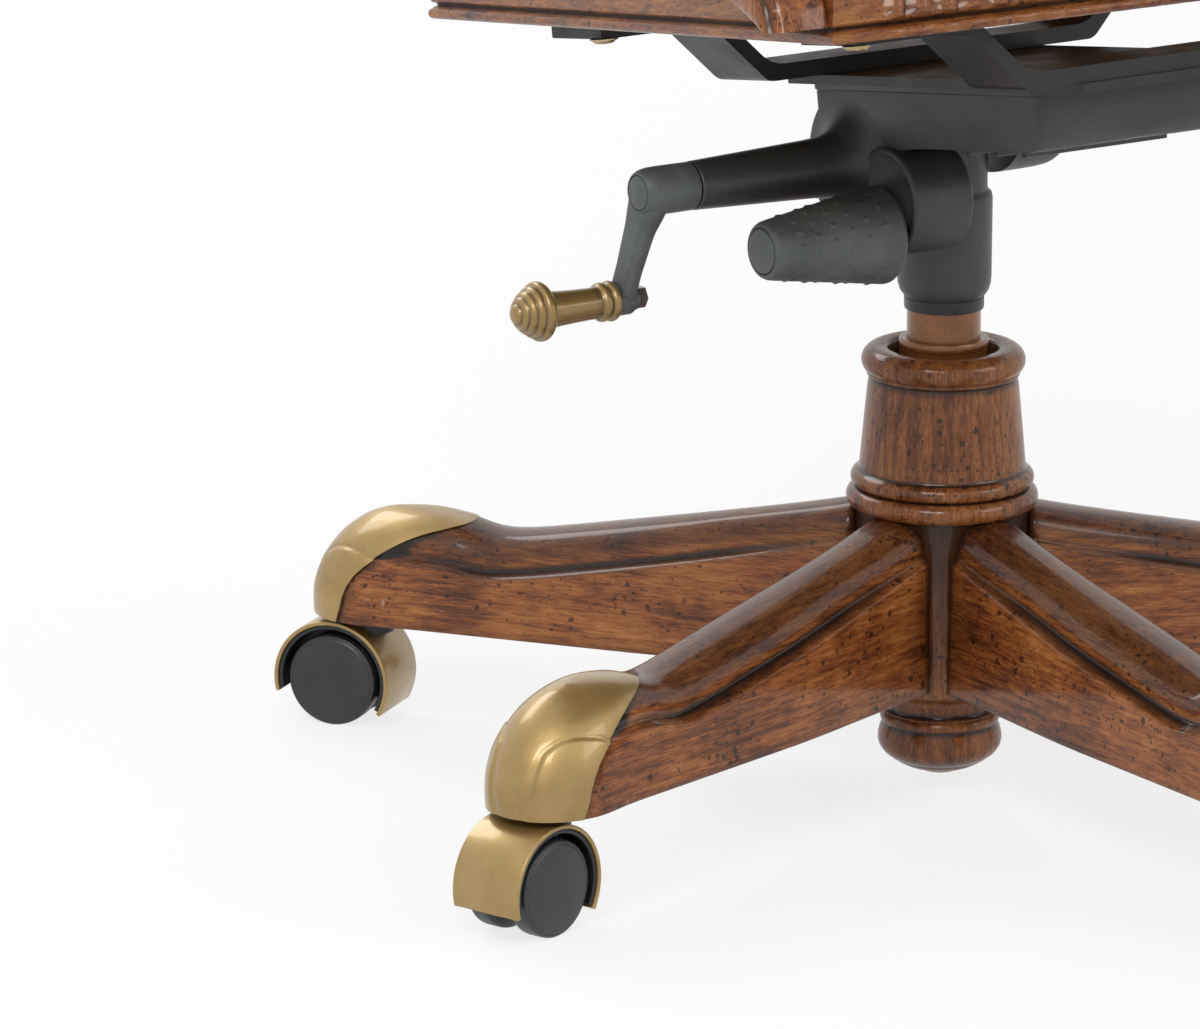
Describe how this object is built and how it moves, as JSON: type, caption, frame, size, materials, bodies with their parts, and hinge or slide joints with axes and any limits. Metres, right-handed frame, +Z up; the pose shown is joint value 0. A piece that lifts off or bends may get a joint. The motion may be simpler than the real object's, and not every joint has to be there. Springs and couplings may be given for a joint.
{
  "type": "high back office chair",
  "caption": "Traditional high back swivel office chair: wood pedestal base with brass toe caps and hooded casters, gas lift, tilting seat, tufted back and open arms.",
  "frame": {"origin": "on the floor under the swivel axis", "axes": "+Z up along the column, -Y to the front of the chair, -X to the sitter's right"},
  "size_m": [0.7224, 0.7729, 1.1609],
  "materials": {
    "walnut": "satin lacquer, distressed",
    "plywood": "raw",
    "antique_brass": "antique satin",
    "black_plastic": "matte",
    "steel": "plain",
    "bronze_paint": "satin",
    "black_steel": "satin",
    "grey_casting": "dark textured",
    "black_rubber": "matte",
    "brown_leather": "aniline"
  },
  "bodies": {
    "base": {"pedestal_post": "walnut", "drop_finial": "walnut", "toe_caps": "antique_brass", "caster_stems": "steel", "column_tube": "bronze_paint", "thrust_bearing": "steel", "leg_front": "walnut", "leg_front_right": "walnut", "leg_rear_right": "walnut", "leg_rear_left": "walnut", "leg_front_left": "walnut"},
    "turning_rod": {"piston_rod": "steel"},
    "lift": {"lift_cylinder": "bronze_paint", "column_yoke": "grey_casting", "tilt_axle": "steel"},
    "seat": {"mechanism_case": "grey_casting", "tilt_bushes": "black_rubber", "seat_plate": "black_steel", "seat_bar_rear": "black_steel", "seat_bar_front": "black_steel", "seat_screws": "steel", "seat_rail_left": "walnut", "seat_rail_right": "walnut", "seat_rail_rear": "walnut", "seat_rail_front": "walnut", "seat_deck": "plywood", "seat_cushion": "brown_leather", "back_stile_left": "walnut", "back_stile_right": "walnut", "crest_rail": "walnut", "back_lower_rail": "walnut", "back_panel": "brown_leather", "back_cushion": "brown_leather", "back_buttons": "brown_leather", "arm_support_left": "walnut", "arm_support_right": "walnut", "arm_rail_left": "walnut", "arm_rail_right": "walnut", "arm_pads": "brown_leather"},
    "crank": {"crank_shaft": "steel", "crank_arm": "grey_casting", "handle_bolt": "steel"},
    "handle": {"crank_handle": "antique_brass"},
    "lever": {"lever_rod": "steel", "lever_grip": "black_rubber"},
    "caster_front": {"caster_hood_front": "antique_brass", "caster_frame_front": "black_plastic"},
    "wheels_front": {"caster_wheels_front": "black_plastic"},
    "caster_front_right": {"caster_hood_front_right": "antique_brass", "caster_frame_front_right": "black_plastic"},
    "wheels_front_right": {"caster_wheels_front_right": "black_plastic"},
    "caster_rear_right": {"caster_hood_rear_right": "antique_brass", "caster_frame_rear_right": "black_plastic"},
    "wheels_rear_right": {"caster_wheels_rear_right": "black_plastic"},
    "caster_rear_left": {"caster_hood_rear_left": "antique_brass", "caster_frame_rear_left": "black_plastic"},
    "wheels_rear_left": {"caster_wheels_rear_left": "black_plastic"},
    "caster_front_left": {"caster_hood_front_left": "antique_brass", "caster_frame_front_left": "black_plastic"},
    "wheels_front_left": {"caster_wheels_front_left": "black_plastic"}
  },
  "joints": [
    {"name": "caster_swivel_front", "type": "hinge", "parent": "base", "child": "caster_front", "pos_m": [0, -0.324, 0.05], "axis": [0, 0, 1], "continuous": true},
    {"name": "wheel_spin_front", "type": "hinge", "parent": "caster_front", "child": "wheels_front", "pos_m": [0, -0.34, 0.025], "axis": [1, 0, 0], "continuous": true},
    {"name": "caster_swivel_front_right", "type": "hinge", "parent": "base", "child": "caster_front_right", "pos_m": [-0.30814, -0.10012, 0.05], "axis": [0, 0, 1], "continuous": true},
    {"name": "wheel_spin_front_right", "type": "hinge", "parent": "caster_front_right", "child": "wheels_front_right", "pos_m": [-0.32336, -0.10507, 0.025], "axis": [0.309, -0.9511, 0], "continuous": true},
    {"name": "caster_swivel_rear_right", "type": "hinge", "parent": "base", "child": "caster_rear_right", "pos_m": [-0.19044, 0.26212, 0.05], "axis": [0, 0, 1], "continuous": true},
    {"name": "wheel_spin_rear_right", "type": "hinge", "parent": "caster_rear_right", "child": "wheels_rear_right", "pos_m": [-0.19985, 0.27507, 0.025], "axis": [-0.809, -0.5878, 0], "continuous": true},
    {"name": "caster_swivel_rear_left", "type": "hinge", "parent": "base", "child": "caster_rear_left", "pos_m": [0.19044, 0.26212, 0.05], "axis": [0, 0, 1], "continuous": true},
    {"name": "wheel_spin_rear_left", "type": "hinge", "parent": "caster_rear_left", "child": "wheels_rear_left", "pos_m": [0.19985, 0.27507, 0.025], "axis": [-0.809, 0.5878, 0], "continuous": true},
    {"name": "caster_swivel_front_left", "type": "hinge", "parent": "base", "child": "caster_front_left", "pos_m": [0.30814, -0.10012, 0.05], "axis": [0, 0, 1], "continuous": true},
    {"name": "wheel_spin_front_left", "type": "hinge", "parent": "caster_front_left", "child": "wheels_front_left", "pos_m": [0.32336, -0.10507, 0.025], "axis": [0.309, 0.9511, 0], "continuous": true},
    {"name": "seat_swivel", "type": "hinge", "parent": "base", "child": "turning_rod", "pos_m": [0, 0, 0.07], "axis": [0, 0, 1], "continuous": true},
    {"name": "seat_lift", "type": "slide", "parent": "turning_rod", "child": "lift", "axis": [0, 0, 1], "range_m": [0, 0.1]},
    {"name": "seat_tilt", "type": "hinge", "parent": "lift", "child": "seat", "pos_m": [0, 0, 0.362], "axis": [-1, 0, 0], "range_deg": [0, 12], "stiffness_Nm_per_rad": 120, "springref_deg": -20.05},
    {"name": "crank_turn", "type": "hinge", "parent": "seat", "child": "crank", "pos_m": [-0.158, 0, 0.3407], "axis": [1, 0, 0], "continuous": true},
    {"name": "handle_spin", "type": "hinge", "parent": "crank", "child": "handle", "pos_m": [-0.22, 0.022, 0.2805], "axis": [1, 0, 0], "continuous": true},
    {"name": "lever_lift", "type": "hinge", "parent": "seat", "child": "lever", "pos_m": [-0.044, -0.04, 0.312], "axis": [0, 1, 0], "range_deg": [0, 6]}
  ]
}
